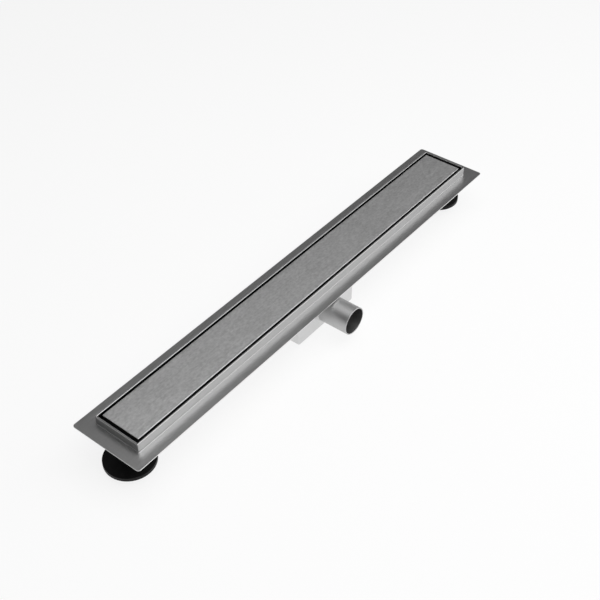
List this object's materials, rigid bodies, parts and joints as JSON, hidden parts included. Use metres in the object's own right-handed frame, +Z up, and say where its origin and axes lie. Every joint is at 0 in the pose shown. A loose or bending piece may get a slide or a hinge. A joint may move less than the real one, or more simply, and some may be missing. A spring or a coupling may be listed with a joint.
{
  "type": "linear shower drain",
  "caption": "Linear shower drain: brushed cover in a raised steel rim with a flat sealing flange, a sloped trough, a well with a lift-out cup trap, a side outlet and levelling feet.",
  "frame": {"origin": "middle of the drain, on the top face of the sealing flange", "axes": "+X along the channel, +Z up, the outlet pipe leaves towards -Y"},
  "size_m": [0.741, 0.14, 0.0652],
  "materials": {
    "satin_steel": "satin stainless sheet",
    "brushed_cover": "brushed along its length",
    "pale_steel": "matt pickled stainless sheet",
    "pipe_steel": "bright drawn tube",
    "zinc_steel": "zinc-plated",
    "black_plastic": "moulded, fine grain",
    "black_rubber": "matt rubber",
    "white_plastic": "moulded",
    "grey_plastic": "moulded"
  },
  "bodies": {
    "channel": {"flange_frame": "satin_steel", "trough": "satin_steel", "trough_end_left": "satin_steel", "trough_end_right": "satin_steel", "trap_box": "pale_steel", "outlet_pipe": "pipe_steel", "cover_plate": "brushed_cover", "cover_rest_1": "satin_steel", "cover_rest_2": "satin_steel", "cover_rest_3": "satin_steel", "cover_rest_4": "satin_steel", "cover_buffer_1": "black_rubber", "cover_buffer_2": "black_rubber", "cover_buffer_3": "black_rubber", "cover_buffer_4": "black_rubber", "cover_buffer_5": "black_rubber", "cover_buffer_6": "black_rubber", "cover_buffer_7": "black_rubber", "cover_buffer_8": "black_rubber", "strainer": "grey_plastic", "trap_seal": "black_rubber", "trap_tube": "white_plastic", "trap_cup": "white_plastic", "foot_bracket_left": "satin_steel", "weld_nut_left": "zinc_steel", "lock_nut_left": "zinc_steel", "lock_washer_left": "zinc_steel", "foot_bracket_right": "satin_steel", "weld_nut_right": "zinc_steel", "lock_nut_right": "zinc_steel", "lock_washer_right": "zinc_steel"},
    "left_foot": {"foot_rod_left": "zinc_steel", "foot_pad_left": "black_plastic"},
    "right_foot": {"foot_rod_right": "zinc_steel", "foot_pad_right": "black_plastic"}
  },
  "joints": [
    {"name": "left_foot_height", "type": "slide", "parent": "channel", "child": "left_foot", "axis": [0, 0, -1], "range_m": [0, 0.01]},
    {"name": "right_foot_height", "type": "slide", "parent": "channel", "child": "right_foot", "axis": [0, 0, -1], "range_m": [0, 0.01]}
  ]
}
